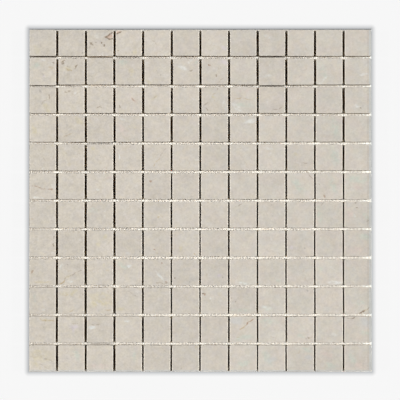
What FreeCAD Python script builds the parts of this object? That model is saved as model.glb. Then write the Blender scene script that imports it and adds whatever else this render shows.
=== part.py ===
import FreeCAD
import Part

import os
import random

# A square mosaic sheet: sawn stone chips in an even grid, polished face up, glued by their backs to a
# fibreglass net. The origin is the middle of the net's underside. +X runs along a row of chips, +Y
# points to the first row and +Z out of the polished face. Lengths are in millimetres, turns in degrees.

# Stone chips
rows = 12
columns = 12
chip_side = 23.4
stone_thickness = 9.5
joint_width = 2.0
arris = 0.4
corner_break = 0.4

# Largest errors of a chip: in its thickness and sides as sawn, and in its place and turn as laid
thickness_error = 0.08
side_error = 0.12
laying_shift = 0.12
laying_turn = 0.3

# The chips of the late rows and columns are sawn wider by this share of a joint, all of it on the side
# of the chip before, so the joints along Y close up. It sets in between the two numbers of each pair
late_closing = 0.3
late_rows = (2, 6)
late_columns = (3, 5)

# Chips that were cut long or laid askew and crowd a joint: (row, column) counted from the first corner,
# then what is added along Y and how far the chip is moved along Y, in joint widths, and its turn
crowding_chips = {
    (1, 0): (0.65, 0.03, -0.4),
    (1, 2): (0.15, 0.13, 0.1),
    (1, 8): (0.65, 0.0, 0.3),
    (3, 2): (0.25, -0.15, 0.2),
    (6, 2): (0.1, -0.05, -0.8),
    (8, 4): (0.15, -0.1, -0.2),
    (9, 11): (0.1, -0.05, 0.5),
}

# Backing net: warp yarns along Y, weft yarns along X on top of them
yarns_per_chip = 8
yarn_width = 0.8
yarn_shoulder = 0.15
warp_thickness = 0.3
weft_thickness = 0.3
net_setback = 0.8

# What follows from the sizes above
module = chip_side + joint_width
sheet_x = columns * module - joint_width
sheet_y = rows * module - joint_width
net_x = sheet_x - 2 * net_setback
net_y = sheet_y - 2 * net_setback
net_thickness = warp_thickness + weft_thickness


def prism(outline, height):
    """The upright prism that stands at z = 0 on an outline of (x, y) corners."""
    corners = [FreeCAD.Vector(x, y, 0) for x, y in outline]
    base = Part.Face(Part.makePolygon(corners + corners[:1]))
    return base.extrude(FreeCAD.Vector(0, 0, height))


def stone_chip(side_x, side_y, thickness):
    """One chip on the Z axis, back at z = 0: arrises round the polished face, corners knocked off."""
    x, y = side_x / 2, side_y / 2
    block = Part.makeBox(side_x, side_y, thickness, FreeCAD.Vector(-x, -y, 0))
    face_edges = [edge for edge in block.Edges if edge.BoundBox.ZMin > thickness / 2]
    arrised = block.makeChamfer(arris, face_edges)
    near_x, near_y = x - corner_break, y - corner_break
    outline = [(near_x, -y), (x, -near_y), (x, near_y), (near_x, y)]
    outline += [(-east, -north) for east, north in outline]
    return arrised.common(prism(outline, thickness)).Solids[0]


def yarn(length, thickness):
    """One flattened yarn along X, centred, its underside at z = 0."""
    flat = yarn_width / 2 - yarn_shoulder
    side = yarn_width / 2
    lower = [(-flat, 0), (flat, 0), (side, thickness / 2)]
    upper = [(flat, thickness), (-flat, thickness), (-side, thickness / 2)]
    corners = [FreeCAD.Vector(-length / 2, y, z) for y, z in lower + upper]
    section = Part.Face(Part.makePolygon(corners + corners[:1]))
    return section.extrude(FreeCAD.Vector(length, 0, 0))


def placed(shape, x, y, z, turn=0.0):
    """A copy of a shape, turned about its own Z axis and moved to its place."""
    copy = shape.copy()
    copy.rotate(FreeCAD.Vector(0, 0, 0), FreeCAD.Vector(0, 0, 1), turn)
    copy.translate(FreeCAD.Vector(x, y, z))
    return copy


def lateness(index, start, end):
    """How late a row or column is: 0 up to start, 1 from end on."""
    return min(1.0, max(0.0, (index - start) / (end - start)))


def sawn_and_laid(row, column, hand):
    """One chip in its place on the net, with the small errors of sawing and of laying by hand."""
    closing = late_closing * lateness(row, *late_rows) * lateness(column, *late_columns)
    widening = closing * joint_width
    side_x = chip_side + widening + hand.uniform(-side_error, side_error)
    side_y = chip_side + hand.uniform(-side_error, side_error)
    thickness = stone_thickness + hand.uniform(-thickness_error, thickness_error)
    x = (column - (columns - 1) / 2) * module - widening / 2 + hand.uniform(-laying_shift, laying_shift)
    y = ((rows - 1) / 2 - row) * module + hand.uniform(-laying_shift, laying_shift)
    turn = hand.uniform(-laying_turn, laying_turn)
    if (row, column) in crowding_chips:
        extra, moved, turn = crowding_chips[row, column]
        side_y += extra * joint_width
        y += moved * joint_width
    return placed(stone_chip(side_x, side_y, thickness), x, y, net_thickness, turn)


def across(count, span):
    """Where the middles of count yarns lie, the outer two flush with the ends of span."""
    reach = span - yarn_width
    return [reach * (index / (count - 1) - 0.5) for index in range(count)]


def warp_yarns():
    """The net's lower layer, whose undersides are the face that beds in mortar."""
    strand = yarn(net_y, warp_thickness)
    return [placed(strand, x, 0, 0, 90) for x in across(columns * yarns_per_chip, net_x)]


def weft_yarns():
    """The net's upper layer, which lies on the warp and carries the chips."""
    strand = yarn(net_x, weft_thickness)
    return [placed(strand, 0, y, warp_thickness) for y in across(rows * yarns_per_chip, net_y)]


def export(name, solids):
    """One STEP file for one node."""
    Part.makeCompound(solids).exportStep("parts/" + name + ".step")


os.makedirs("parts", exist_ok=True)
laying_hand = random.Random(1212)
for row in range(rows):
    chips = [sawn_and_laid(row, column, laying_hand) for column in range(columns)]
    export("tile_row_{:02d}".format(row + 1), chips)
export("net_warp_yarns", warp_yarns())
export("net_weft_yarns", weft_yarns())
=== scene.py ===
import math

import bpy
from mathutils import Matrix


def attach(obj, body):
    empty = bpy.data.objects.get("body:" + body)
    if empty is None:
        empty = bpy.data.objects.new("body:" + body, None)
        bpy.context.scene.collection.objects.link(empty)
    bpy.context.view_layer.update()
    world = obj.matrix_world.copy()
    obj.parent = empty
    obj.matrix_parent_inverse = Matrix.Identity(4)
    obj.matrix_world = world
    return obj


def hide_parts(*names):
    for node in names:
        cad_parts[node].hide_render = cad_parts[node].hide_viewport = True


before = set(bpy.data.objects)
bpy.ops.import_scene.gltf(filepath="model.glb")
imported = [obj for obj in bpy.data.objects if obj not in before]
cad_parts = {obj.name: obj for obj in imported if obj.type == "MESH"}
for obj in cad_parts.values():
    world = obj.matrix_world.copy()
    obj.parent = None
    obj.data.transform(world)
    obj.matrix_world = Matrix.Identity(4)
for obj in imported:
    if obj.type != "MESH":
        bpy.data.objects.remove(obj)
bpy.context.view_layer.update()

# Sizes of the sheet, in metres, as its source has them
mm = 0.001
rows = 12
columns = 12
module = 25.4 * mm
joint_width = 2.0 * mm
stone_thickness = 9.5 * mm
arris = 0.4 * mm
yarns_across = 96
yarn_width = 0.8 * mm
yarn_thickness = 0.3 * mm
net_setback = 0.8 * mm

# What follows from them
half_sheet = (columns * module - joint_width) / 2
net_thickness = 2 * yarn_thickness
chip_top = net_thickness + stone_thickness
yarn_reach = 2 * half_sheet - 2 * net_setback - yarn_width
yarn_pitch = yarn_reach / (yarns_across - 1)

# The chips of a row are told apart by cells one module wide. Late chips are wider on their -X side, so the
# cells start a little before the middle of a joint
cell_lead = 0.45 * mm
first_cell = -half_sheet - joint_width / 2 - cell_lead

# The photograph is square. Its camera looks down on the sheet's middle from a little nearer to the last
# row, as the joints' walls show
photo_side = 400
photo_width = 354.3 * mm
camera_height = 2.5
camera_lean = 45 * mm
aim = (-0.35 * mm, 0.35 * mm)

# Two low lamps light along the joints between rows and leave those between columns dark. Each has its
# bearing from +X, in degrees, and its strength
lamps = {"right_lamp": (0.4, 3.3), "left_lamp": (179.6, 2.6)}
lamp_elevation = 31.0
lamp_spread = 1.2
ambient = 0.06
page_white = 0.93

# How the polished faces' edges are worn, in turn: by which texture, along which axis and how deep in
# millimetres on each side. The feet are the lower edges of the arrises
edge_wear = (
    ("fine", "X", {"east": -0.05, "west": 0.05}),
    ("fine", "Y", {"north": -0.08, "south": 0.08}),
    ("nicks", "X", {"east": -0.1, "west": 0.1}),
    ("nicks", "Y", {"north": -0.25, "south": 0.25}),
    ("nicks", "Z", {"foot_x": -0.2, "foot_y": -0.35}),
    ("fine", "Z", {"foot_x": -0.1, "foot_y": -0.15}))

# Painted shade where chips crowd a joint between two rows and little light gets down: the joint and the
# chip, counted from the first corner, and how dark the painted shade is there
painted_shade_joints = ((1, 0, 1.0), (1, 2, 0.8), (1, 3, 0.25), (1, 8, 0.8), (2, 0, 0.2), (2, 8, 0.7),
                  (4, 2, 0.3), (9, 4, 0.15), (11, 2, 0.25))

# Colours, linear: the polished stone, its edges, its sides, the net, and the page
stone_cream, stone_yellowish = (0.634, 0.579, 0.509), (0.644, 0.592, 0.508)
stone_pinkish, stone_greenish = (0.638, 0.568, 0.510), (0.600, 0.589, 0.534)
stone_cool, stone_warm = (0.615, 0.575, 0.530), (0.650, 0.590, 0.480)
clay, calcite = (0.44, 0.34, 0.24), (0.78, 0.77, 0.73)
arris_dull, arris_white_and_highlight = (0.57, 0.52, 0.45), (0.74, 0.70, 0.63)
edge_shade_grey, arris_shade_grey = (0.575, 0.585, 0.570), (0.44, 0.44, 0.40)
side_brown_shade, side_tan_shade = (0.52, 0.375, 0.20), (0.60, 0.455, 0.28)
side_painted_shade_deep, side_painted_light, side_painted_light_pale = (0.27, 0.175, 0.08), (0.90, 0.83, 0.70), (0.80, 0.74, 0.62)
outer_dull, outer_cream = (0.585, 0.525, 0.445), (0.655, 0.600, 0.525)
glue_film, glue_crust = (0.74, 0.72, 0.66), (0.88, 0.84, 0.74)
yarn_dull, yarn_white = (0.80, 0.765, 0.69), (0.95, 0.92, 0.85)
yarn_quiet, yarn_shaded, yarn_painted_shade = (0.64, 0.59, 0.515), (0.56, 0.43, 0.285), (0.14, 0.11, 0.08)
page_lit, page_shade_left_end, page_light_right_end = (0.80, 0.75, 0.68), (0.56, 0.51, 0.44), (1.0, 1.0, 0.95)
gloom_left, gloom_right = (0.66, 0.53, 0.355), (0.63, 0.51, 0.35)
page_light_crossing, page_painted_shade = (0.97, 0.93, 0.86), (0.10, 0.08, 0.06)
white, rim_shadow_grey, shadow_black = (1.0, 1.0, 1.0), (0.500, 0.515, 0.530), (0.0, 0.0, 0.0)


# ---- shader maths, in millimetres

half_span = half_sheet / mm
pitch = module / mm
net_top = net_thickness / mm


class Wire:
    """An output socket of a material, which plain expressions can be written with."""

    def __init__(self, paint, socket):
        self.paint = paint
        self.socket = socket

    def __add__(self, other):
        return self.paint.maths("ADD", self, other)

    __radd__ = __add__

    def __sub__(self, other):
        return self.paint.maths("SUBTRACT", self, other)

    def __rsub__(self, other):
        return self.paint.maths("SUBTRACT", other, self)

    def __mul__(self, other):
        return self.paint.maths("MULTIPLY", self, other)

    __rmul__ = __mul__

    def __truediv__(self, other):
        return self.paint.maths("DIVIDE", self, other)

    def __abs__(self):
        return self.paint.maths("ABSOLUTE", self)


class Paint:
    """A material under construction."""

    def __init__(self, name, world=None):
        self.material = world or bpy.data.materials.new(name)
        self.material.use_nodes = True
        self.tree = self.material.node_tree
        self.tree.nodes.clear()

    def node(self, kind, settings=None, values=None, out=0):
        """One node: its settings are set first, then the values or links of its sockets."""
        made = self.tree.nodes.new("ShaderNode" + kind)
        for name, value in (settings or {}).items():
            setattr(made, name, value)
        for name, value in (values or {}).items():
            if isinstance(value, Wire):
                self.tree.links.new(value.socket, made.inputs[name])
            else:
                made.inputs[name].default_value = value
        return Wire(self, made.outputs[out]) if made.outputs else None

    def maths(self, operation, *values):
        return self.node("Math", {"operation": operation}, dict(enumerate(values)))

    def larger(self, first, second):
        return self.maths("MAXIMUM", first, second)

    def vectors(self, operation, *values, out=0, **named):
        sockets = dict(enumerate(values))
        sockets.update(named)
        return self.node("VectorMath", {"operation": operation}, sockets, out)

    def place(self):
        """Where a point is on the piece, in millimetres."""
        return self.vectors("SCALE", self.node("TexCoord", out="Object"), Scale=1 / mm)

    def parts(self, vector):
        """The three numbers of a vector."""
        split = self.node("SeparateXYZ", values={0: vector})
        outputs = split.socket.node.outputs
        return [Wire(self, output) for output in outputs]

    def step(self, value, low, high, to_low=0.0, to_high=1.0):
        """A smooth step of a value from low to high."""
        return self.node("MapRange", {"interpolation_type": "SMOOTHSTEP"},
                         {"Value": value, "From Min": low, "From Max": high,
                          "To Min": to_low, "To Max": to_high})

    def within(self, value, full, none, amount=1.0):
        """An amount that a value keeps up to full and has lost at none."""
        return self.step(value, full, none, amount, 0.0)

    def mixed(self, amount, first, second):
        """A colour between two, by an amount from 0 to 1."""
        settings = {"data_type": "RGBA", "clamp_factor": True}
        return self.node("Mix", settings, {0: amount, 6: colour(first), 7: colour(second)}, 2)

    def noise(self, at, size, detail=2.0, roughness=0.5, out=0):
        """Clouds whose features are about size across."""
        return self.node("TexNoise", {"noise_dimensions": "3D"},
                         {"Vector": at, "Scale": 1 / size, "Detail": detail, "Roughness": roughness}, out)

    def from_joints(self, x, y):
        """How far a point is from the nearest joint between columns, and from the nearest between rows."""
        return [self.maths("PINGPONG", value, pitch / 2) for value in (x, y)]

    def crossing(self, x, y, inner, outer):
        """How near a point is to the crossing of two joints, from 0 to 1."""
        near_column, near_row = [self.within(line, inner, outer) for line in self.from_joints(x, y)]
        return near_column * near_row

    def quiet(self, x, y):
        """Where the net hardly shows in the joints, in the first rows and columns, from 0 to 1."""
        return self.larger(self.step(y, 45.0, 75.0), self.within(x, -100.0, -30.0))

    def painted_joint_shade(self, x, y):
        """How much painted shade a point gets in a joint that its chips crowd, from 0 to 1."""
        most = None
        for joint, column, amount in painted_shade_joints:
            middle_x = (column - (columns - 1) / 2) * pitch
            line_y = (rows / 2 - joint) * pitch
            along = self.within(abs(x - middle_x), 10.5, 12.2, amount)
            here = along * self.within(abs(y - line_y), 1.5, 3.0)
            most = self.larger(most, here) if most else here
        return most

    def bump(self, height, depth, strength):
        """Relief of a height from 0 to 1 that is depth millimetres deep."""
        return self.node("Bump", values={"Height": height, "Distance": depth * mm, "Strength": strength})

    def surface(self, **values):
        """The finished material, from the principled shader's sockets."""
        names = {name.replace("_", " "): value for name, value in values.items()}
        shader = self.node("BsdfPrincipled", values=names)
        self.node("OutputMaterial", values={"Surface": shader})
        return self.material


def colour(value):
    """A colour socket's value from three numbers."""
    return value if isinstance(value, Wire) else (*value, 1.0)


# ---- what the photograph shows in the stone

def on_sheet(pixel):
    """A point of the photograph as millimetres on the sheet."""
    across, down = pixel
    scale = photo_width / photo_side / mm
    return (across - photo_side / 2) * scale, (photo_side / 2 - down) * scale


class Mark:
    """A vein, stain or cloud of the stone: its width in millimetres, strength and path in pixels."""

    def __init__(self, kind, width, strength, *path):
        self.kind = kind
        self.width = width
        self.path = path if len(path) > 1 else (path[0], (path[0][0] + 0.1, path[0][1]))
        self.strength = strength

    def shown(self, paint, flat, full):
        """How much of it shows at a point, up to full at its strength of 1: each stretch is an ellipse."""
        most = None
        for start, end in zip(self.path, self.path[1:]):
            (x0, y0), (x1, y1) = on_sheet(start), on_sheet(end)
            middle = ((x0 + x1) / 2, (y0 + y1) / 2, 0.0)
            turn = math.atan2(y1 - y0, x1 - x0)
            half_length = math.hypot(x1 - x0, y1 - y0) / 2 + self.width / 2
            local = paint.node("Mapping", {"vector_type": "TEXTURE"},
                               {"Vector": flat, "Location": middle, "Rotation": (0.0, 0.0, turn),
                                "Scale": (half_length, self.width / 2, 1.0)})
            distance = paint.vectors("LENGTH", local, out="Value")
            stretch = paint.within(distance, 0.35, 1.15, self.strength * full)
            most = paint.larger(most, stretch) if most else stretch
        return most


# The marks of each row, counted from the photograph's top, in its pixels
marks_by_row = {}
marks_by_row[1] = [
    Mark("pink", 3.4, 1.2, (107, 36.2), (111.6, 35.2)),
    Mark("umber", 1.7, 1, (104.2, 36.2), (107.2, 35.2), (110.4, 33), (113.2, 31.4)),
    Mark("umber", 1.6, 1, (105.2, 36.6), (107.6, 37.8), (109.4, 38.8), (113, 37.4)),
    Mark("umber", 1.8, 1, (116.2, 33), (118.4, 32.4), (120.2, 31)),
    Mark("pink", 2.4, 1, (116.4, 31.6), (119.5, 30.6)), Mark("specks", 2.6, 1.5, (90.2, 43), (92.2, 44.4)),
    Mark("specks", 1.9, 1.7, (89.2, 47)), Mark("specks", 1.7, 1.4, (94.5, 47.1)),
    Mark("specks", 1.9, 1.4, (95.6, 41.4)), Mark("specks", 1.6, 1.2, (96.6, 38.5)),
    Mark("specks", 2.5, 1.5, (101.2, 42.2)), Mark("specks", 1.9, 1.4, (103.6, 44.9)),
    Mark("grey", 1.6, 0.7, (82.1, 33.7)), Mark("white", 6, 0.5, (95, 36), (103, 34)),
    Mark("grey", 2, 1.1, (82.2, 52.4)), Mark("specks", 2, 1.5, (117.9, 49.7)),
    Mark("grey", 2, 0.6, (131.8, 52)), Mark("yellow", 5, 1, (134, 48), (135, 53)),
    Mark("yellow", 6, 1, (35, 46), (38, 52)), Mark("squiggle", 1, 0.9, (150.5, 39.3), (154.8, 41.6)),
    Mark("squiggle", 1, 0.9, (153.8, 41), (156.8, 44.8)),
    Mark("squiggle", 0.9, 0.7, (158, 49.5), (163.4, 53.2)), Mark("lilac", 4, 1, (222, 46), (225, 48)),
    Mark("grey", 1.4, 0.5, (208.4, 38.9)), Mark("white", 4, 1, (265, 35), (270, 36.5))]
marks_by_row[2] = [
    Mark("specks", 3, 1.5, (63.4, 61), (61.6, 63)), Mark("specks", 2, 1.2, (67, 65.6)),
    Mark("ochre", 1.5, 1, (65.6, 67.6), (68.4, 69.6), (71.2, 70.3)), Mark("yellow", 5, 1, (65, 68), (71, 68)),
    Mark("specks", 2.2, 1.5, (74.4, 68), (76, 65.2)), Mark("specks", 2, 1.2, (52.2, 61.8), (53.2, 62.6)),
    Mark("ochre", 2.4, 0.8, (49, 66.8), (52.4, 67.2)),
    Mark("white", 1.8, 0.7, (40, 58.5), (46, 60.5), (52.4, 63.4)),
    Mark("grey", 2, 0.6, (41.4, 73.4), (43.2, 75.2)), Mark("lilac", 3, 1, (43.6, 75.6)),
    Mark("green", 6, 1, (33, 66), (38, 64)), Mark("grey", 1.2, 0.4, (88, 75.2), (92.5, 75)),
    Mark("green", 6, 1, (119, 62), (126, 62)), Mark("yellow", 6, 1, (130, 68), (131, 73)),
    Mark("grey", 2, 0.7, (160.5, 74.3)), Mark("yellow", 4, 1, (147, 81), (150, 83)),
    Mark("white", 3.6, 1.1, (188.4, 62.4), (191.2, 59.8)), Mark("white", 4.4, 1.1, (178, 65.5), (185, 68.4)),
    Mark("specks", 1.8, 1, (189, 71), (191.6, 69.6)), Mark("green", 3.5, 1, (195.5, 61.5)),
    Mark("rust", 1.8, 1.7, (208.6, 63.9), (209.4, 64.6)), Mark("rose", 1, 1, (209.2, 65.5), (209.2, 67.6)),
    Mark("specks", 1.9, 1.2, (215.6, 74.4), (216.2, 75.8)),
    Mark("vein", 1, 1, (224, 76.4), (219.2, 80.8), (217.6, 84)), Mark("lilac", 5, 1, (222, 61), (226, 63)),
    Mark("white", 3, 1, (318.6, 84), (327, 75.4)), Mark("green", 9, 1, (317, 62), (326, 76)),
    Mark("white", 2.5, 1, (359.5, 74.5), (367.8, 73)), Mark("white", 4, 0.7, (264, 76), (270, 75))]
marks_by_row[3] = [
    Mark("grey", 2.2, 0.9, (39.4, 90.2), (40.4, 91.4)),
    Mark("vein", 1.5, 1.5, (48, 93.2), (49, 96.4), (48.2, 98.6)),
    Mark("squiggle", 1.2, 0.9, (40.6, 104.2), (43, 100.2), (47, 99.4)),
    Mark("yellow", 5, 1, (44, 104), (47, 108), (48, 111)),
    Mark("squiggle", 1.7, 1.5, (64.4, 91.2), (70.2, 90.2)), Mark("white", 2.2, 0.6, (73, 93.5), (75, 92)),
    Mark("squiggle", 1.1, 1.3, (96.2, 107.8), (98, 106.2), (100.2, 106.5), (102, 107.8)),
    Mark("specks", 1.5, 1.4, (119.3, 105.6), (119.3, 107.4)), Mark("yellow", 5, 1, (119.6, 110), (123, 112)),
    Mark("rust", 1.9, 0.8, (131.4, 97.4), (134, 100.6)), Mark("rose", 5, 1, (130, 95), (135, 101)),
    Mark("squiggle", 1.4, 0.8, (152.6, 96.8), (156.6, 95.6)), Mark("yellow", 4, 1, (152, 98), (156, 96)),
    Mark("grey", 1.6, 0.5, (150, 106)), Mark("vein", 1.2, 1.3, (217.6, 87), (216.8, 89.6)),
    Mark("yellow", 2.6, 1.6, (212.2, 96), (215.4, 97.2)),
    Mark("ochre", 1.2, 0.6, (211.4, 94.3), (216.4, 92.6)), Mark("ochre", 1.2, 1, (213.8, 99.8)),
    Mark("squiggle", 1.4, 1.1, (204, 104.6), (207.6, 102.2)),
    Mark("vein", 1.3, 1.3, (205.6, 107), (208.6, 111)), Mark("white", 5, 1, (222, 100), (226, 108)),
    Mark("rose", 5, 1, (236, 90), (250, 91)), Mark("ochre", 1, 0.9, (233.7, 98.8), (242, 97), (252, 100.2)),
    Mark("green", 5, 1, (236, 104), (252, 105)), Mark("white", 4.5, 1, (233, 104), (240, 110)),
    Mark("vein", 1.1, 1.1, (272.5, 109), (278, 108.2), (283, 106)),
    Mark("white", 3.6, 1, (355, 104.5), (358, 106)), Mark("umber", 1.2, 1, (359.6, 107.2), (360.6, 107.6))]
marks_by_row[4] = [
    Mark("yellow", 6, 1, (33, 126), (35, 134)), Mark("ochre", 1.3, 0.9, (63, 136), (67.4, 134.6), (72, 132)),
    Mark("rose", 2.4, 1, (65.6, 129)), Mark("grey", 1.8, 0.5, (43, 122)),
    Mark("yellow", 6, 1, (76, 118), (82, 124)), Mark("rose", 7, 1, (120, 126), (126, 134)),
    Mark("white", 4, 1, (119, 117), (123, 119)), Mark("white", 5, 1, (245, 122), (254, 120)),
    Mark("yellow", 4, 1, (130, 126), (136, 127)), Mark("green", 9, 1, (333, 120), (336, 136))]
marks_by_row[5] = [
    Mark("yellow", 3.4, 1, (51.6, 145)), Mark("squiggle", 1.3, 0.6, (42, 156), (45, 160.6)),
    Mark("yellow", 4, 1, (69, 163.7)), Mark("yellow", 5, 1, (92.4, 147.8)),
    Mark("grey", 1.5, 0.7, (98.5, 154.8)), Mark("white", 1.8, 1.5, (118.2, 152.9), (119.2, 160)),
    Mark("grey", 0.9, 0.7, (117, 151), (117.4, 159)),
    Mark("vein", 0.9, 0.7, (166.3, 147), (163, 150.3), (159.2, 158)),
    Mark("ochre", 1, 1, (159.2, 158), (155.4, 162.4), (152.9, 166.3)),
    Mark("white", 2.6, 1, (263.7, 147), (272.6, 149)), Mark("vein", 1.2, 1.2, (302.6, 161.8), (309, 163.7)),
    Mark("yellow", 4, 1, (295, 153.5)), Mark("green", 9, 1, (333, 148), (336, 164)),
    Mark("yellow", 5, 0.6, (62, 150), (66, 156))]
marks_by_row[6] = [
    Mark("rust", 1.2, 1, (31.8, 185.7), (37, 185.4), (40.8, 188.3), (46.5, 189), (54, 189)),
    Mark("white", 3.6, 1.2, (32, 197.5), (43, 198.5)), Mark("rose", 2.6, 1, (47, 184)),
    Mark("white", 3, 1.3, (97.3, 189.5)), Mark("rose", 3, 1, (106.5, 178), (111.5, 176)),
    Mark("rust", 2.2, 1, (149.6, 180.2), (150.6, 181.2)), Mark("green", 8, 1, (292, 178), (302, 190)),
    Mark("vein", 1.2, 1.2, (307.7, 173.3), (312.8, 179.7)),
    Mark("vein", 1.2, 1.2, (317.3, 182.8), (319.2, 184.1)),
    Mark("rust", 1.8, 1, (323.6, 195.2), (324.6, 196.2)), Mark("green", 8, 1, (330, 178), (334, 192)),
    Mark("green", 8, 1, (347, 178), (368, 180)), Mark("rose", 6, 1, (355, 186), (360, 189))]
marks_by_row[7] = [
    Mark("ochre", 1.2, 0.7, (30, 218.8), (33, 218.2)), Mark("green", 5, 1, (90, 210), (95, 210)),
    Mark("ochre", 1.3, 1, (157.4, 216.8), (158.8, 216.2)), Mark("vein", 1.1, 1, (324, 201), (320.5, 205)),
    Mark("vein", 1.2, 1.3, (233.7, 207), (237.2, 205.6), (241.4, 203.3)),
    Mark("grey", 1.5, 0.8, (271.4, 204.5)), Mark("grey", 1.5, 0.8, (272.3, 215.4)),
    Mark("green", 7, 1, (317, 206), (320, 222)), Mark("rose", 6, 1, (346, 206), (352, 218)),
    Mark("specks", 1.8, 1.4, (355.2, 202.3)), Mark("specks", 1.8, 1.4, (356.8, 207.1)),
    Mark("specks", 2, 1.4, (367.3, 220.2)), Mark("green", 5, 1, (363, 214), (367, 217)),
    Mark("white", 2.6, 1, (354.2, 215.4))]
marks_by_row[8] = [
    Mark("specks", 2.4, 1.1, (53.5, 237)), Mark("specks", 2.6, 1.3, (53.2, 244), (53.2, 245.4)),
    Mark("grey", 1.5, 0.5, (34.4, 244)), Mark("yellow", 5, 1, (98, 244)), Mark("yellow", 5, 1, (105, 236)),
    Mark("white", 3.4, 1, (126.5, 253.5), (128.5, 253.5)), Mark("grey", 1.6, 1, (139.5, 250.6)),
    Mark("rust", 1.6, 1.1, (153.6, 249.2), (154.8, 249.8)), Mark("yellow", 3.4, 1, (156.7, 252)),
    Mark("yellow", 4, 1, (179.7, 250), (181, 246)), Mark("ochre", 1, 0.9, (192.6, 252.4), (196, 254.6)),
    Mark("lilac", 5, 1, (291, 247)), Mark("grey", 1.7, 1, (303.9, 247.8)),
    Mark("rose", 7, 1, (350, 250), (360, 250)), Mark("green", 6, 1, (360, 236), (368, 237))]
marks_by_row[9] = [
    Mark("rust", 2.4, 0.9, (31.2, 272.4), (32.6, 270.4)),
    Mark("ochre", 1.2, 0.5, (33, 281.6), (42, 282.6), (52, 280.4)),
    Mark("yellow", 3, 1, (34, 281.5), (50, 281.5)), Mark("specks", 2.2, 1.1, (66.3, 264.4)),
    Mark("white", 3.6, 1, (60.4, 267.4), (62, 265)),
    Mark("ochre", 1.4, 1.6, (59.3, 283.4), (62.4, 282.2), (64.7, 279.7)),
    Mark("vein", 1.1, 1.1, (64.7, 279.7), (65.6, 277.1), (71.4, 275.2)),
    Mark("vein", 1.1, 1.1, (71.4, 275.2), (76.5, 271.4), (82.2, 269.8)),
    Mark("yellow", 3, 1.4, (64.6, 277.4), (71, 275.4)), Mark("white", 3.4, 1.2, (67.6, 281), (72, 281)),
    Mark("ochre", 1.3, 0.8, (105.4, 269.2), (109.2, 270.2)), Mark("yellow", 3, 1, (103, 264.4)),
    Mark("white", 3.2, 1.5, (127.5, 266), (130, 265)), Mark("green", 5, 1, (118, 263), (126, 268)),
    Mark("rust", 1.7, 1.3, (161, 262.4), (162, 263.2)),
    Mark("white", 2.6, 1.1, (155.4, 270.7), (163.7, 280.3)),
    Mark("squiggle", 1.1, 1.4, (154.8, 282.8), (159.9, 282.2), (163.7, 283.5), (167.5, 282.2)),
    Mark("rust", 1.6, 1.1, (165, 281.6), (166.2, 281.6)), Mark("specks", 2, 1.2, (174.4, 277.6)),
    Mark("grey", 1.8, 0.7, (189.2, 281.6)), Mark("lilac", 3.6, 1.3, (218, 275.2), (220.4, 275.2)),
    Mark("grey", 1.6, 1, (222.4, 277.1)), Mark("white", 3.4, 1.2, (238.8, 282.4), (250.3, 284.2)),
    Mark("green", 3.6, 1, (240, 281.6), (250, 284.8)), Mark("green", 5, 1, (278.4, 280.3)),
    Mark("green", 6, 1, (321, 269.5)), Mark("white", 3.8, 1.3, (328, 282), (340.8, 282.4))]
marks_by_row[10] = [
    Mark("green", 3, 1, (34.4, 294), (34.4, 302)), Mark("white", 2.6, 1, (43.3, 309.6)),
    Mark("yellow", 5, 1.2, (61, 292.4), (69, 294.4), (76, 290.4)),
    Mark("ochre", 1, 0.7, (64.2, 295.6), (69.6, 293.4)), Mark("specks", 1.6, 1.3, (82.2, 294.3)),
    Mark("ochre", 1.6, 0.8, (69.5, 311), (73.3, 309.6)), Mark("yellow", 12, 1.1, (92, 296), (108, 298)),
    Mark("yellow", 9, 1.2, (91, 305), (99, 300), (109, 302)), Mark("rose", 3.4, 1, (106, 300), (109, 299.4)),
    Mark("ochre", 1.2, 1, (104.5, 309), (111, 309.6)), Mark("yellow", 4, 1, (117, 309), (123.7, 308)),
    Mark("squiggle", 1, 0.8, (128, 290), (132.6, 294.4), (138.8, 296.9)),
    Mark("rust", 2.4, 1.2, (203.4, 293.6), (204.4, 294.4)),
    Mark("umber", 0.8, 1, (201.8, 293), (203.6, 292.2), (205.6, 293.6)),
    Mark("white", 2.8, 1, (209.6, 297.5)), Mark("yellow", 4, 1, (219.2, 293.7)),
    Mark("specks", 1.7, 1.2, (231.5, 297.8)), Mark("specks", 1.9, 1, (235, 301.3)),
    Mark("green", 4, 1, (232, 309.5), (250, 310.5)), Mark("white", 4, 0.9, (262.4, 306), (271.4, 308.5)),
    Mark("green", 5, 1, (262, 308), (271, 308)), Mark("grey", 1.6, 1, (306.2, 289.6), (307.8, 290.2)),
    Mark("green", 5, 1, (357, 302), (364, 302)), Mark("umber", 1, 0.9, (369, 306.6), (367.6, 308)),
    Mark("ochre", 1.4, 1.3, (367.8, 308.2), (363.8, 310.3)),
    Mark("umber", 1.4, 1, (363.8, 310.3), (361, 312), (359.3, 313.8))]
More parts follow.
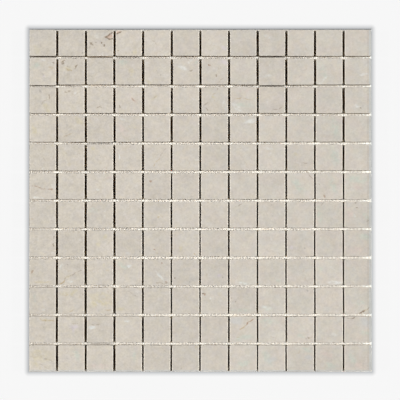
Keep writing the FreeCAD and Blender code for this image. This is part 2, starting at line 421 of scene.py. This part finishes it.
marks_by_row[11] = [
    Mark("ochre", 1.2, 1.2, (38.2, 317.3), (40.8, 319.2), (47.1, 320.5), (54.8, 320.2)),
    Mark("yellow", 3, 1, (40, 319.4), (54, 320.4)), Mark("squiggle", 1.3, 1.3, (71.4, 323.4), (78.4, 323.2)),
    Mark("lilac", 4.6, 1.2, (71.4, 327), (76.6, 326)), Mark("lilac", 3.6, 0.9, (72.6, 328), (73.4, 331)),
    Mark("squiggle", 1.1, 1.1, (89, 323.6), (94.4, 324), (99.4, 323.8)),
    Mark("white", 3.4, 1.3, (88.8, 327), (94.8, 326.8)),
    Mark("white", 2.6, 1.1, (124.6, 320.5), (128.6, 320.5)), Mark("specks", 1.6, 0.8, (136.4, 328.4)),
    Mark("rust", 1.3, 1.3, (253.5, 318.9), (247.8, 321.4), (245.9, 324.3)),
    Mark("ochre", 1.6, 1.5, (245.9, 324.3), (243.3, 327.2), (239.8, 328.8)),
    Mark("ochre", 1, 0.6, (235.6, 336.8), (240, 337.4)), Mark("blue", 8, 1, (232, 320), (240, 321)),
    Mark("green", 6, 1, (236, 339), (252, 336)), Mark("green", 8, 1, (262, 321), (276, 321)),
    Mark("white", 4, 0.6, (264, 326), (268, 322)), Mark("green", 4, 1, (298, 335), (304, 336)),
    Mark("specks", 2, 1.3, (306.2, 337.8), (308.4, 337.2)),
    Mark("vein", 1.1, 0.9, (308.4, 337.2), (312.6, 336.2)), Mark("specks", 1.4, 0.8, (295.6, 341.6)),
    Mark("squiggle", 1, 1.1, (346, 317.8), (351.4, 318.2)),
    Mark("umber", 1.1, 1, (351.2, 318.6), (354.8, 316.2), (358.8, 314.9)),
    Mark("blue", 9, 1, (363, 320), (367, 324)), Mark("green", 7, 1, (363, 332), (368, 334)),
    Mark("rose", 6, 1, (351, 336), (358, 338))]
marks_by_row[12] = [
    Mark("yellow", 4, 1, (31, 351), (42, 351)), Mark("yellow", 13, 0.9, (35, 356), (48, 356)),
    Mark("squiggle", 1.1, 1.1, (44, 358), (48, 358.6), (52.8, 361.4)),
    Mark("squiggle", 1.1, 1.1, (38.4, 363.2), (42, 364.6), (48.6, 368.4)),
    Mark("squiggle", 0.9, 0.6, (30, 356.6), (38, 356.2)), Mark("yellow", 4, 1, (32, 361), (40, 367)),
    Mark("grey", 1.6, 0.5, (66.4, 356.8), (68.4, 358.6)), Mark("green", 6, 1, (75, 351), (78, 358)),
    Mark("white", 2.4, 0.9, (106.2, 359.6)), Mark("rose", 5, 1, (90, 365), (108, 366)),
    Mark("green", 4, 1, (134, 350), (134, 360)), Mark("squiggle", 1, 1, (160, 346.8), (166, 351.6)),
    Mark("grey", 1.3, 0.6, (192, 351)), Mark("yellow", 2.6, 1, (195.4, 345), (195.6, 350)),
    Mark("grey", 1.4, 0.6, (181, 368.2)), Mark("green", 7, 1, (238, 364), (248, 362)),
    Mark("green", 8, 1, (264, 352), (270, 364)), Mark("blue", 7, 1, (268, 360), (274, 358)),
    Mark("green", 6, 1, (298, 349), (312, 350)), Mark("blue", 5, 1, (306, 356), (310, 357)),
    Mark("rose", 6, 1, (322, 352), (332, 356)), Mark("green", 7, 1, (324, 364), (334, 366)),
    Mark("green", 7, 1, (350, 354), (354, 362)), Mark("rose", 7, 1, (356, 364), (364, 366))]

# What each kind of mark does to the stone: its colour, and how much of it shows at full strength
mark_colours = {
    "green": ((0.565, 0.605, 0.525), 0.55),
    "rose": ((0.665, 0.560, 0.500), 0.55),
    "blue": ((0.585, 0.585, 0.570), 0.60),
    "yellow": ((0.625, 0.560, 0.400), 0.55),
    "lilac": ((0.650, 0.590, 0.600), 0.65),
    "white": ((0.750, 0.750, 0.710), 0.60),
    "pink": ((0.640, 0.490, 0.400), 0.80),
    "ochre": ((0.500, 0.390, 0.235), 0.70),
    "rust": ((0.400, 0.260, 0.175), 0.70),
    "specks": ((0.300, 0.240, 0.175), 0.80),
    "squiggle": ((0.400, 0.340, 0.265), 0.58),
    "vein": ((0.390, 0.320, 0.250), 0.55),
    "grey": ((0.400, 0.375, 0.340), 0.72),
    "umber": ((0.190, 0.125, 0.075), 0.80),
}


# ---- materials

def slab_grain(paint, row):
    """What every cut of this marble shares: a point's place, its place in the slab and its chip's luck."""
    here = paint.place()
    x, y, z = paint.parts(here)
    chip = paint.maths("FLOOR", (x - first_cell / mm) / pitch)
    luck = paint.node("TexWhiteNoise", {"noise_dimensions": "1D"}, {"W": chip + 12.5 * row}, "Color")
    slab = paint.vectors("ADD", here, paint.vectors("SCALE", luck, Scale=400.0))
    return here, (x, y, z), slab, luck


def marble_ground(paint, x, slab):
    """The colour of the marble between its marks."""
    # Greenish grey and pinkish clouds, stronger towards the right columns
    rightward = paint.step(x, -120.0, 140.0, 0.25, 1.0)
    leftmost = paint.within(x, -150.0, -20.0, 0.55)
    hue = paint.step(paint.noise(slab, 11.0), 0.38, 0.62)
    warmth = paint.step(paint.noise(slab, 5.0, 3.0, 0.6), 0.30, 0.70)
    body = paint.mixed(rightward * 0.65, paint.mixed(leftmost, stone_cream, stone_yellowish),
                       paint.mixed(hue, stone_pinkish, stone_greenish))
    body = paint.mixed(0.5, body, paint.mixed(warmth, stone_cool, stone_warm))

    # Threads of ochre clay and small clouds of white calcite, both sparse
    bend = paint.vectors("SCALE", paint.noise(slab, 6.0, out=1), Scale=5.0)
    bent = paint.vectors("ADD", slab, bend)
    ridge = abs(paint.noise(bent, 16.0) - 0.5)
    gate = paint.step(paint.noise(slab, 12.0, 1.0), 0.55, 0.68)
    body = paint.mixed(paint.within(ridge, 0.0, 0.010) * gate * 0.30, body, clay)
    cloudy = paint.step(paint.noise(bent, 9.0, 3.0, 0.6), 0.66, 0.76)
    return paint.mixed(cloudy * 0.35, body, calcite)


def marked(paint, row, here, x, y, body):
    """The marble's colour with the marks of the photograph on it, wavered and broken up."""
    waver = paint.vectors("SUBTRACT", paint.noise(here, 3.4, 3.0, 0.6, out=1), (0.5, 0.5, 0.5))
    flat = paint.vectors("ADD", paint.node("CombineXYZ", values={0: x, 1: y}),
                         paint.vectors("MULTIPLY", waver, (3.4, 3.4, 0.0)))
    crumbs = paint.step(paint.noise(here, 1.2, 3.0, 0.7), 0.42, 0.56)
    breaks = paint.step(paint.noise(here, 2.2, 3.0, 0.6), 0.32, 0.50)
    patches = paint.step(paint.noise(here, 3.6, 4.0, 0.65), 0.36, 0.62, 0.15, 1.25)
    broken = {"specks": crumbs}
    broken.update(dict.fromkeys(("rust", "vein", "ochre", "squiggle"), breaks))
    broken.update(dict.fromkeys(("white", "yellow", "green", "rose"), patches))
    for kind, (shade, full) in mark_colours.items():
        most = None
        for mark in marks_by_row[row]:
            if mark.kind == kind:
                shown = mark.shown(paint, flat, full)
                most = paint.larger(most, shown) if most else shown
        if most:
            body = paint.mixed(most * broken[kind] if kind in broken else most, body, shade)
    return body


def marble_face(row):
    """The polished face of one row's chips."""
    paint = Paint("polished_marble_{:02d}".format(row))
    here, (x, y, _), slab, luck = slab_grain(paint, row)
    cloud = paint.noise(slab, 12.0)
    mottle = paint.noise(slab, 4.0, 4.0, 0.7)
    fleck = paint.noise(slab, 1.6, 3.0, 0.6)
    lively = paint.step(x, -150.0, 60.0, 1.4, 1.05)
    tone = 1.01 + (cloud - 0.5) * 0.20 + ((mottle - 0.5) * 0.28 + (fleck - 0.5) * 0.28) * lively
    tone = tone + (paint.parts(luck)[0] - 0.5) * 0.075
    body = marked(paint, row, here, x, y, marble_ground(paint, x, slab))

    # A painted highlight: a paler line beside the edges of the polished faces
    painted_edge_light = paint.node("Attribute", {"attribute_name": "painted_edge_light"}, out="Fac")
    tone = tone + painted_edge_light * (0.24 + 0.24 * mottle)

    # Painted shade: the sheet's edges at the right and at the last row are painted grey, with a darker
    # painted line inside the right one
    right_edge = paint.step(x, half_span - 2.2, half_span - 1.7)
    painted_shade_line = paint.step(x, half_span - 4.0, half_span - 3.4) * (1 - right_edge)
    last_edge = paint.step(0 - y, half_span - 1.6, half_span - 1.1)
    body = paint.mixed(paint.larger(right_edge, last_edge) * 0.8, body, edge_shade_grey)
    tone = tone - painted_shade_line * 0.09 - right_edge * 0.02

    grain = paint.noise(here, 0.35, 3.0, 0.7)
    pits = paint.step(paint.noise(here, 0.8), 0.70, 0.76)
    relief = paint.bump(grain * 0.25 - pits, 0.05, 0.35)
    gloss = 0.24 + mottle * 0.12 + pits * 0.3
    return paint.surface(Base_Color=paint.vectors("SCALE", body, Scale=tone), Roughness=gloss, Normal=relief)


def broken_arris():
    """The edge round the polished face, where the saw and handling broke the grains open: whiter, partly from
    the broken grains and partly as a painted highlight.
    """
    paint = Paint("broken_arris")
    here = paint.place()
    crystals = paint.noise(here, 0.7, 4.0, 0.7)
    body = paint.mixed(paint.step(crystals, 0.35, 0.62), arris_dull, arris_white_and_highlight)
    # Painted shade: grey at the sheet's right end
    right_end = paint.step(paint.parts(here)[0], half_span - 1.2, half_span - 0.8)
    body = paint.mixed(right_end, body, arris_shade_grey)
    relief = paint.bump(crystals, 0.15, 0.6)
    return paint.surface(Base_Color=body, Roughness=0.55 + crystals * 0.3, Normal=relief)


def sawn_stone():
    """The chips' sides and backs as the saw left them, with a film of glue round the net, and painted shade
    and light in the joints.
    """
    paint = Paint("sawn_marble")
    here, (x, y, z), slab, _ = slab_grain(paint, 0)
    cloud = paint.noise(slab, 12.0, 3.0)
    mottle = paint.noise(slab, 1.6, 4.0, 0.65)
    kerf = paint.node("TexWave", {"wave_type": "BANDS", "bands_direction": "Z"},
                      {"Vector": here, "Scale": 0.35, "Distortion": 2.5, "Detail": 3.0,
                       "Detail Scale": 0.4}, 1)
    tone = 0.93 + (cloud - 0.5) * 0.12 + (mottle - 0.5) * 0.20

    # Painted shade in the joints: brown, deeper below the lit part of those between columns save at the upper
    # left; painted light where joints cross, and paler painted light at the upper right in those between rows
    body = paint.mixed(mottle, side_brown_shade, side_tan_shade)
    by_column, by_row = [paint.within(line, 1.3, 2.0) for line in paint.from_joints(x, y)]
    gloomy = paint.larger(paint.step(x, -40.0, 40.0), paint.within(y, -20.0, 60.0))
    body = paint.mixed(by_column * gloomy * paint.within(z, 8.2, 9.2, 0.65), body, side_painted_shade_deep)
    body = paint.mixed(paint.crossing(x, y, 2.2, 7.5) * 0.85, body, side_painted_light)
    upper_right = paint.step(x, 40.0, 140.0, 0.0, 0.8) * paint.step(y, -10.0, 20.0)
    body = paint.mixed(by_row * upper_right, body, side_painted_light_pale)

    # Cream round the outside of the sheet
    outside = paint.step(paint.larger(abs(x), abs(y)), half_span - 0.8, half_span - 0.4)
    body = paint.mixed(outside, body, paint.mixed(mottle, outer_dull, outer_cream))
    body = paint.vectors("SCALE", body, Scale=tone)

    low = paint.within(z, net_top + 0.02, net_top + 0.9)
    smear = paint.step(paint.noise(here, 4.0, 4.0, 0.6) + low * 0.25, 0.50, 0.72)
    body = paint.mixed(smear * low * 0.7, body, glue_film)
    relief = paint.bump(mottle * 0.7 + kerf * 0.3, 0.12, 0.6)
    return paint.surface(Base_Color=body, Roughness=0.86 - low * smear * 0.35, Normal=relief)


def glass_yarn(name, stretch):
    """White coated fibreglass: fine filaments along the yarn and a little dried glue."""
    paint = Paint(name)
    here = paint.place()
    filaments = paint.noise(paint.vectors("MULTIPLY", here, stretch), 0.35, 3.0, 0.6)
    glue = paint.step(paint.noise(here, 3.2, 3.0, 0.6), 0.45, 0.65)
    body = paint.mixed(filaments, yarn_dull, yarn_white)
    body = paint.mixed(glue * 0.6, body, glue_crust)

    # Quieter in the first rows and columns save where joints cross, which keeps a painted light there; a
    # painted shade of brown along the joints between columns, and painted shade where chips crowd a joint
    x, y = paint.parts(here)[:2]
    from_column, from_row = paint.from_joints(x, y)
    crossing_light = paint.within(from_column, 1.6, 3.2) * paint.within(from_row, 2.2, 5.5)
    body = paint.mixed(paint.quiet(x, y) * (0.9 - crossing_light * 0.9), body, yarn_quiet)
    shaded = paint.within(from_column, 1.3, 2.0) * paint.step(from_row, 2.2, 5.5)
    body = paint.mixed(shaded * paint.step(y, 20.0, 90.0, 0.95, 0.7), body, yarn_shaded)
    body = paint.mixed(paint.painted_joint_shade(x, y), body, yarn_painted_shade)
    relief = paint.bump(filaments, 0.08, 0.8)
    return paint.surface(Base_Color=body, Roughness=0.62 - glue * 0.22, Normal=relief)


# ---- working on a piece

def only(piece):
    """Selects one object and nothing else."""
    bpy.ops.object.select_all(action="DESELECT")
    piece.select_set(True)
    bpy.context.view_layer.objects.active = piece


def edit(piece, kind="VERT"):
    only(piece)
    bpy.ops.object.mode_set(mode="EDIT")
    bpy.ops.mesh.select_mode(type=kind)


def pick(piece, kind, test):
    """Selects the vertices, edges or faces of a piece that pass a test, ready for edit mode."""
    if bpy.context.mode == "EDIT_MESH":
        bpy.ops.object.mode_set(mode="OBJECT")
    mesh = piece.data
    for group in (mesh.vertices, mesh.edges, mesh.polygons):
        group.foreach_set("select", [False] * len(group))
    chosen = {"VERT": mesh.vertices, "EDGE": mesh.edges, "FACE": mesh.polygons}[kind]
    for item in chosen:
        item.select = test(item)
    edit(piece, kind)


def ends(piece, edge):
    """Where the two ends of an edge are."""
    return [piece.data.vertices[number].co for number in edge.vertices]


def clouds(name, size, contrast=1.0, intensity=1.0, depth=1):
    """A cloud texture that wears edges down and bends yarns."""
    texture = bpy.data.textures.new(name, "CLOUDS")
    texture.noise_scale = size
    texture.noise_depth = depth
    texture.contrast = contrast
    texture.intensity = intensity
    texture.use_clamp = True
    return texture


def worn(piece, group, texture, direction, strength, middle=0.0):
    """Moves a group's vertices along one axis by a texture, and applies that."""
    only(piece)
    wear = piece.modifiers.new("wear", "DISPLACE")
    wear.texture = texture
    wear.texture_coords = "GLOBAL"
    wear.vertex_group = group
    wear.direction = direction
    wear.strength = strength
    wear.mid_level = middle
    bpy.ops.object.modifier_apply(modifier=wear.name)


def grouped(piece, name, numbers):
    piece.vertex_groups.new(name=name).add(numbers, 1.0, "REPLACE")


# ---- chips

def cut_rims(piece):
    """Cuts the edges of each polished face fine and insets a narrow rim inside them."""
    edge_cuts = 31
    rim_width = 0.6 * mm
    shortest_side = 10 * mm
    edit(piece)
    bpy.ops.mesh.select_all(action="SELECT")
    bpy.ops.mesh.remove_doubles(threshold=0.001 * mm)
    bpy.ops.mesh.dissolve_limited(angle_limit=math.radians(0.5))

    # The four edges round each polished face, and the four at the foot of its arris
    def round_arris(edge):
        a, b = ends(piece, edge)
        return min(a.z, b.z) > chip_top - 2 * arris and (a - b).length > shortest_side

    pick(piece, "EDGE", round_arris)
    bpy.ops.mesh.subdivide(number_cuts=edge_cuts)
    pick(piece, "FACE", lambda face: face.normal.z > 0.999)
    bpy.ops.mesh.dissolve_faces(use_verts=False)
    bpy.ops.mesh.inset(thickness=rim_width, depth=0.0, use_individual=True)
    bpy.ops.object.mode_set(mode="OBJECT")


def edge_vertices(mesh):
    """The numbers of the vertices on each side and each corner of the polished faces, and at their feet."""
    near_side = 0.3 * mm
    near_corner = 0.4 * mm
    chips = {}
    for vertex in mesh.vertices:
        chips.setdefault(int((vertex.co.x - first_cell) / module), []).append(vertex)
    sides = {name: [] for name in ("east", "west", "north", "south", "foot_x", "foot_y")}
    corners = {(east, north): [] for east in (1, -1) for north in (1, -1)}
    for vertices in chips.values():
        top = max(vertex.co.z for vertex in vertices)
        face = [vertex for vertex in vertices if vertex.co.z > top - 0.01 * mm]
        foot = [vertex for vertex in vertices if top - 1.2 * arris < vertex.co.z < top - 0.8 * arris]
        low_x, high_x = (extreme(vertex.co.x for vertex in face) for extreme in (min, max))
        low_y, high_y = (extreme(vertex.co.y for vertex in face) for extreme in (min, max))
        sides["west"] += [vertex.index for vertex in face if vertex.co.x < low_x + near_side]
        sides["east"] += [vertex.index for vertex in face if vertex.co.x > high_x - near_side]
        sides["south"] += [vertex.index for vertex in face if vertex.co.y < low_y + near_side]
        sides["north"] += [vertex.index for vertex in face if vertex.co.y > high_y - near_side]
        sides["foot_x"] += [vertex.index for vertex in foot if not low_x < vertex.co.x < high_x]
        sides["foot_y"] += [vertex.index for vertex in foot if low_x < vertex.co.x < high_x]
        for (east, north), numbers in corners.items():
            end_x = (high_x if east > 0 else -low_x) - near_corner
            end_y = (high_y if north > 0 else -low_y) - near_corner
            numbers += [vertex.index for vertex in face + foot
                        if vertex.co.x * east > end_x and vertex.co.y * north > end_y]
    return sides, corners


def knock_corners(piece, corners):
    """Knocks the corners in, and down at the foot of the arris."""
    inward = 0.2 * mm
    downward = 0.3 * mm
    for (east, north), numbers in corners.items():
        knocked = set(numbers)
        pick(piece, "VERT", lambda vertex: vertex.index in knocked)
        bpy.ops.transform.translate(value=(-east * inward, -north * inward, 0))
        pick(piece, "VERT", lambda vertex: vertex.index in knocked and vertex.co.z < chip_top - 0.5 * arris)
        bpy.ops.transform.translate(value=(0, 0, -downward))
    bpy.ops.object.mode_set(mode="OBJECT")


def paint_edge_light(mesh, sides):
    """The painted highlight beside each edge of the polished faces: strong along +X and -X, weak round the
    sheet, and a painted shade at its right edge.
    """
    painted_edge_light = mesh.attributes.new("painted_edge_light", "FLOAT", "POINT")
    outermost = half_sheet - 2 * arris
    for name, amount in (("north", 0.35), ("south", 0.35), ("east", 1.0), ("west", 1.0)):
        for index in sides[name]:
            point = mesh.vertices[index].co
            if point.x > outermost:
                painted_edge_light.data[index].value = -0.15
            elif -point.x > outermost:
                painted_edge_light.data[index].value = 0.3
            elif abs(point.y) > outermost:
                painted_edge_light.data[index].value = 0.0
            else:
                painted_edge_light.data[index].value = amount


def chip_row(number, finishes, wear):
    """One row of chips: the CAD row with its edges worn as a saw and a sack leave them."""
    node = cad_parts["tile_row_{:02d}".format(number)]
    piece = bpy.data.objects.new("marble_chips_{:02d}".format(number), node.data.copy())
    bpy.context.scene.collection.objects.link(piece)
    piece.data.materials.clear()
    cut_rims(piece)
    sides, corners = edge_vertices(piece.data)
    for name, numbers in sides.items():
        grouped(piece, name, numbers)
    knock_corners(piece, corners)
    paint_edge_light(piece.data, sides)
    for texture, direction, depths in edge_wear:
        for name, depth in depths.items():
            worn(piece, name, wear[texture], direction, depth * mm)

    polished, broken, sawn = range(3)
    for finish in (marble_face(number), finishes["arris"], finishes["sawn"]):
        piece.data.materials.append(finish)
    for face in piece.data.polygons:
        tilt = face.normal.z
        above = face.center.z > chip_top - 2.5 * arris
        face.material_index = polished if tilt > 0.999 else broken if tilt > 0.2 and above else sawn
    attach(piece, "root")
    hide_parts(node.name)


# ---- net

def woven_cell(phase):
    """Two yarns along Y, each two crossings long, one over where the other is under."""
    half = yarn_reach / 2
    cell = []
    for index in range(2):
        bpy.ops.object.select_all(action="DESELECT")
        bpy.ops.mesh.primitive_cylinder_add(vertices=6, radius=yarn_width / 2, depth=2 * yarn_pitch,
                                            end_fill_type="NOTHING", location=(0, 0, 0),
                                            rotation=(math.pi / 2, math.pi / 6, 0))
        yarn = bpy.context.object
        bpy.ops.object.transform_apply(location=False, rotation=True, scale=False)
        yarn.scale = (1.0, 1.0, yarn_thickness / (yarn_width * math.cos(math.pi / 6)))
        bpy.ops.object.transform_apply(location=False, rotation=False, scale=True)
        pick(yarn, "EDGE", lambda edge: abs(ends(yarn, edge)[0].y - ends(yarn, edge)[1].y) > yarn_pitch)
        bpy.ops.mesh.subdivide(number_cuts=1)
        pick(yarn, "VERT", lambda vertex: abs(vertex.co.y) < 0.1 * mm)
        rise = yarn_thickness / 2 * (1 if (index + phase) % 2 else -1)
        bpy.ops.transform.translate(value=(0, 0, rise))
        bpy.ops.mesh.select_all(action="INVERT")
        bpy.ops.transform.translate(value=(0, 0, -rise))
        bpy.ops.mesh.select_all(action="SELECT")
        bpy.ops.transform.translate(value=(index * yarn_pitch - half, yarn_pitch - half, net_thickness / 2))
        bpy.ops.object.mode_set(mode="OBJECT")
        cell.append(yarn)
    only(cell[0])
    cell[1].select_set(True)
    bpy.ops.object.join()
    return cell[0]


def repeated(piece, step, merged):
    """Repeats the cell along one axis across the net, and joins what meets end to end."""
    only(piece)
    repeat = piece.modifiers.new("repeat", "ARRAY")
    repeat.count = yarns_across // 2
    repeat.use_relative_offset = False
    repeat.use_constant_offset = True
    repeat.constant_offset_displace = step
    repeat.use_merge_vertices = merged
    repeat.merge_threshold = 0.01 * mm
    bpy.ops.object.modifier_apply(modifier=repeat.name)


def close_ends(piece):
    """Ends the yarns flush with the net's edge, and closes them."""
    half = yarn_reach / 2
    pick(piece, "VERT", lambda vertex: vertex.co.y > half + yarn_pitch / 2)
    bpy.ops.mesh.delete(type="VERT")
    for side in (1, -1):
        pick(piece, "VERT", lambda vertex: vertex.co.y * side > half - 0.1 * mm)
        bpy.ops.transform.translate(value=(0, side * yarn_width / 2, 0))
    bpy.ops.mesh.select_all(action="SELECT")
    bpy.ops.mesh.fill_holes(sides=6)
    bpy.ops.mesh.select_all(action="SELECT")
    bpy.ops.mesh.normals_make_consistent(inside=False)
    bpy.ops.object.mode_set(mode="OBJECT")


def wander_yarns(piece, wander):
    """Bends the inner yarns, and moves each side of every yarn by itself, so it swells and thins."""
    half = yarn_reach / 2
    inside = half - 0.5 * yarn_pitch
    sides = {"side_0": [], "side_1": []}
    for vertex in piece.data.vertices:
        yarn = (vertex.co.x + half) / yarn_pitch
        sides["side_1" if yarn - round(yarn) > 0 else "side_0"].append(vertex.index)
    for name, numbers in sides.items():
        grouped(piece, name, numbers)
    numbers = [vertex.index for vertex in piece.data.vertices if abs(vertex.co.x) < inside]
    grouped(piece, "inner", numbers)
    worn(piece, "inner", wander["slow"], "X", 1.1 * mm, 0.5)
    worn(piece, "side_0", wander["quick"], "X", 0.45 * mm, 0.75)
    worn(piece, "side_1", wander["quick"], "X", 0.45 * mm, 0.25)


def yarns(name, node, along, phase, finish, wander):
    """One layer of the net, woven over and under the other: made along Y and turned where it runs along X."""
    piece = woven_cell(phase)
    piece.name = name
    piece.data.name = name
    repeated(piece, (0.0, 2 * yarn_pitch, 0.0), True)
    repeated(piece, (2 * yarn_pitch, 0.0, 0.0), False)
    close_ends(piece)
    wander_yarns(piece, wander)
    only(piece)
    if along == "X":
        piece.rotation_euler.z = -math.pi / 2
        bpy.ops.object.transform_apply(location=False, rotation=True, scale=False)
    bpy.ops.object.shade_smooth()
    piece.data.materials.clear()
    piece.data.materials.append(finish)
    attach(piece, "root")
    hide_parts(node)


finishes = {"arris": broken_arris(), "sawn": sawn_stone()}
wear = {"fine": clouds("edge_wear", 0.9 * mm, 2.0, 1.0, 2), "nicks": clouds("edge_nicks", 1.5 * mm, 5.0, 0.0)}
for number in range(1, rows + 1):
    chip_row(number, finishes, wear)
wander = {"slow": clouds("yarn_wander", 9 * mm, 1.4), "quick": clouds("yarn_swell", 1.6 * mm, 1.6)}
warp_finish = glass_yarn("glass_yarn_warp", (2.4, 0.5, 1.0))
yarns("glass_warp_yarns", "net_warp_yarns", "Y", 0, warp_finish, wander)
weft_finish = glass_yarn("glass_yarn_weft", (0.5, 2.4, 1.0))
yarns("glass_weft_yarns", "net_weft_yarns", "X", 1, weft_finish, wander)


# ---- floor, light and camera

def page_rim(paint, x, y):
    """The page round the sheet, with a soft rim of painted shadow, and where the page lies outside."""
    # The rim starts where the faces' edges seem to lie on the page, a little below the sheet's own middle
    grown = 1 + chip_top / camera_height
    drop = camera_lean / mm * (grown - 1)
    reach = half_span * grown
    north = y - (drop + reach)
    out_x = paint.larger(paint.larger(x - reach, (-reach - 0.4) - x), 0.0)
    out_y = paint.larger(paint.larger(north - 0.6, (drop - reach) - y), 0.0)
    away = paint.maths("SQRT", out_x * out_x + out_y * out_y)
    near = paint.node("MapRange", {"clamp": True}, {"Value": away, "From Min": 0.0, "From Max": 4.9,
                                                    "To Min": 1.0, "To Max": 0.0})
    # A thin painted shadow line along the sheet's top edge
    line = paint.step(north, -0.3, 0.0) * paint.within(north, 0.6, 1.0) * 0.5
    line = line * paint.within(abs(x), reach - 0.3, reach + 0.4)
    rim = paint.mixed(paint.maths("POWER", near, 1.4), white, rim_shadow_grey)
    rim = paint.mixed(line, rim, shadow_black)
    outside = paint.larger(paint.step(away, 0.0, 0.1), paint.step(north, -0.3, 0.0))
    outside = paint.larger(outside, paint.within(x, -reach - 0.1, -reach))
    return paint.vectors("SCALE", rim, Scale=page_white), outside


def page_under_sheet(paint, x, y):
    """The page seen down the joints, with painted light and shade: brown gloom, lit between rows, darker at
    the left end, white at crossings and right ends, and dark where chips crowd a joint.
    """
    gloom = paint.mixed(paint.step(x, -150.0, 150.0), gloom_left, gloom_right)
    lit = paint.mixed(paint.within(x, -151.0, -141.0, 0.8), page_lit, page_shade_left_end)
    between_rows = paint.within(paint.from_joints(x, y)[1], 1.3, 2.6)
    inner = paint.within(paint.larger(abs(x), abs(y)), 145.0, 147.0)
    under = paint.mixed(between_rows, gloom, lit)
    under = paint.mixed(paint.crossing(x, y, 2.0, 6.0) * inner, under, page_light_crossing)
    under = paint.mixed(paint.step(x, 139.0, 148.0), under, page_light_right_end)
    return paint.mixed(paint.painted_joint_shade(x, y), under, page_painted_shade)


def floor_finish():
    """A white page. The camera sees it outside the sheet almost evenly lit, as in the photograph."""
    even_share = 0.975
    paint = Paint("white_page")
    x, y = paint.parts(paint.place())[:2]
    bare, outside = page_rim(paint, x, y)
    body = paint.mixed(outside, page_under_sheet(paint, x, y), bare)
    seen = paint.node("LightPath", out="Is Camera Ray")
    page = paint.node("BsdfPrincipled", {"subsurface_method": "BURLEY"},
                      {"Base Color": body, "Roughness": 1.0, "Specular IOR Level": 0.0,
                       "Subsurface Weight": 1.0, "Subsurface Radius": (1.0, 0.9, 0.8),
                       "Subsurface Scale": 1.5 * mm})
    glow = paint.node("Emission", values={"Color": body})
    mix = paint.node("MixShader", values={0: seen * outside * even_share, 1: page, 2: glow})
    paint.node("OutputMaterial", values={"Surface": mix})
    return paint.material


bpy.ops.object.select_all(action="DESELECT")
bpy.ops.mesh.primitive_plane_add(size=12.0, location=(0, 0, 0))
page = bpy.context.object
page.name = "page"
page.data.materials.append(floor_finish())

for name, (bearing, strength) in lamps.items():
    light = bpy.data.lights.new(name, "SUN")
    light.energy = strength
    light.angle = math.radians(lamp_spread)
    item = bpy.data.objects.new(name, light)
    item.rotation_euler = (0.0, math.radians(90 - lamp_elevation), math.radians(bearing))
    bpy.context.scene.collection.objects.link(item)

# The background looks like the page, and lights the joints only a little
world = bpy.data.worlds.new("studio")
bpy.context.scene.world = world
sky = Paint("studio", world)
outputs = sky.node("LightPath").socket.node.outputs
shown = sky.larger(Wire(sky, outputs["Is Camera Ray"]), Wire(sky, outputs["Is Transmission Ray"]))
level = sky.node("MapRange", values={"Value": shown, "To Min": ambient, "To Max": page_white})
background = sky.node("Background", values={"Color": colour(white), "Strength": level})
sky.node("OutputWorld", values={"Surface": background})

camera = bpy.data.cameras.new("camera")
camera.sensor_width = 36.0
camera.lens = camera.sensor_width * camera_height / photo_width
camera.clip_end = 30.0
viewer = bpy.data.objects.new("camera", camera)
rise = math.sqrt(camera_height ** 2 - camera_lean ** 2)
viewer.location = (aim[0], aim[1] - camera_lean, chip_top + rise)
viewer.rotation_euler = (math.asin(camera_lean / camera_height), 0.0, 0.0)
bpy.context.scene.collection.objects.link(viewer)
bpy.context.scene.camera = viewer
bpy.context.scene.view_settings.view_transform = "Standard"
